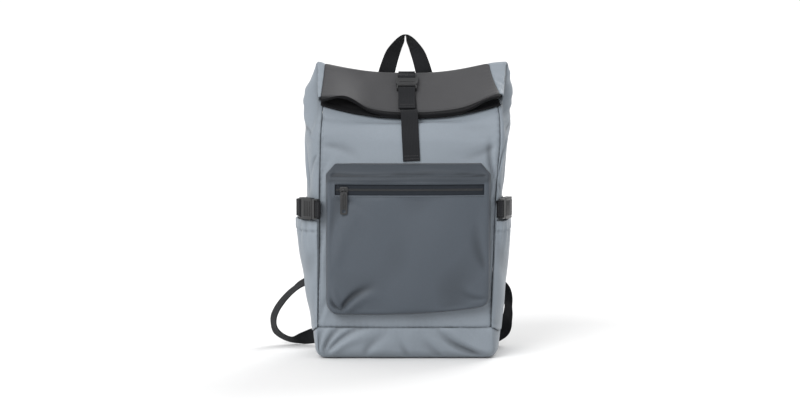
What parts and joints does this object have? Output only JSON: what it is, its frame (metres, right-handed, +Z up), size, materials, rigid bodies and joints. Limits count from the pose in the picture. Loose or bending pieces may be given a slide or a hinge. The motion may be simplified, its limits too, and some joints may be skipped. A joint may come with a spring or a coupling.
{
  "type": "foldable backpack",
  "caption": "Light roll-top backpack with its top folded over and buckled, a zipped front pocket, side pockets, a grab handle and padded shoulder straps.",
  "frame": {"origin": "middle of the flat base that it stands on", "axes": "+Z up from the floor, -Y towards the front pocket, +X to the right as seen from the front"},
  "size_m": [0.3746, 0.185, 0.4792],
  "materials": {
    "grey_cloth": "satin coated nylon",
    "dark_cloth": "matt coated nylon",
    "pocket_cloth": "satin coated nylon",
    "band_cloth": "matt woven nylon",
    "spacer_mesh": "matt hexagonal spacer mesh",
    "strap_cloth": "satin coated nylon",
    "webbing": "ribbed woven webbing",
    "tape": "woven tape",
    "plastic": "satin moulded"
  },
  "bodies": {
    "root": {"base_panel": "grey_cloth", "front_panel": "grey_cloth", "side_panel_left": "grey_cloth", "side_panel_right": "grey_cloth", "back_panel": "spacer_mesh", "back_top_band": "band_cloth", "roll_top_panel": "dark_cloth", "mouth_binding_upper": "tape", "mouth_binding_lower": "tape", "front_pocket": "pocket_cloth", "pocket_zip": "tape", "zip_slider": "plastic", "side_pocket_left": "grey_cloth", "side_pocket_right": "grey_cloth", "closure_strap_upper": "webbing", "closure_strap_lower": "webbing", "closure_buckle_socket": "plastic", "closure_buckle_plug": "plastic", "side_strap_front_left": "webbing", "side_strap_back_left": "webbing", "side_buckle_socket_left": "plastic", "side_buckle_plug_left": "plastic", "side_strap_front_right": "webbing", "side_strap_back_right": "webbing", "side_buckle_socket_right": "plastic", "side_buckle_plug_right": "plastic", "handle_patch": "band_cloth", "grab_handle": "webbing", "shoulder_strap_left": "strap_cloth", "pad_webbing_left": "webbing", "ladder_lock_left": "plastic", "adjust_webbing_left": "webbing", "ring_keeper_left": "webbing", "anchor_tab_left": "grey_cloth", "shoulder_strap_right": "strap_cloth", "pad_webbing_right": "webbing", "ladder_lock_right": "plastic", "adjust_webbing_right": "webbing", "ring_keeper_right": "webbing", "anchor_tab_right": "grey_cloth"},
    "puller": {"zip_puller": "plastic"},
    "ring_left": {"d_ring_left": "plastic"},
    "ring_right": {"d_ring_right": "plastic"}
  },
  "joints": [
    {"name": "zip_puller_swing", "type": "hinge", "parent": "root", "child": "puller", "pos_m": [-0.094, -0.08486, 0.25324], "axis": [-1, 0, 0], "range_deg": [0, 165]},
    {"name": "d_ring_left_swing", "type": "hinge", "parent": "root", "child": "ring_left", "pos_m": [-0.04358, 0.09181, 0.15513], "axis": [0.9837, 0, -0.1799], "range_deg": [0, 150]},
    {"name": "d_ring_right_swing", "type": "hinge", "parent": "root", "child": "ring_right", "pos_m": [0.03049, 0.09199, 0.15513], "axis": [0.9611, 0, 0.276], "range_deg": [0, 150]}
  ]
}
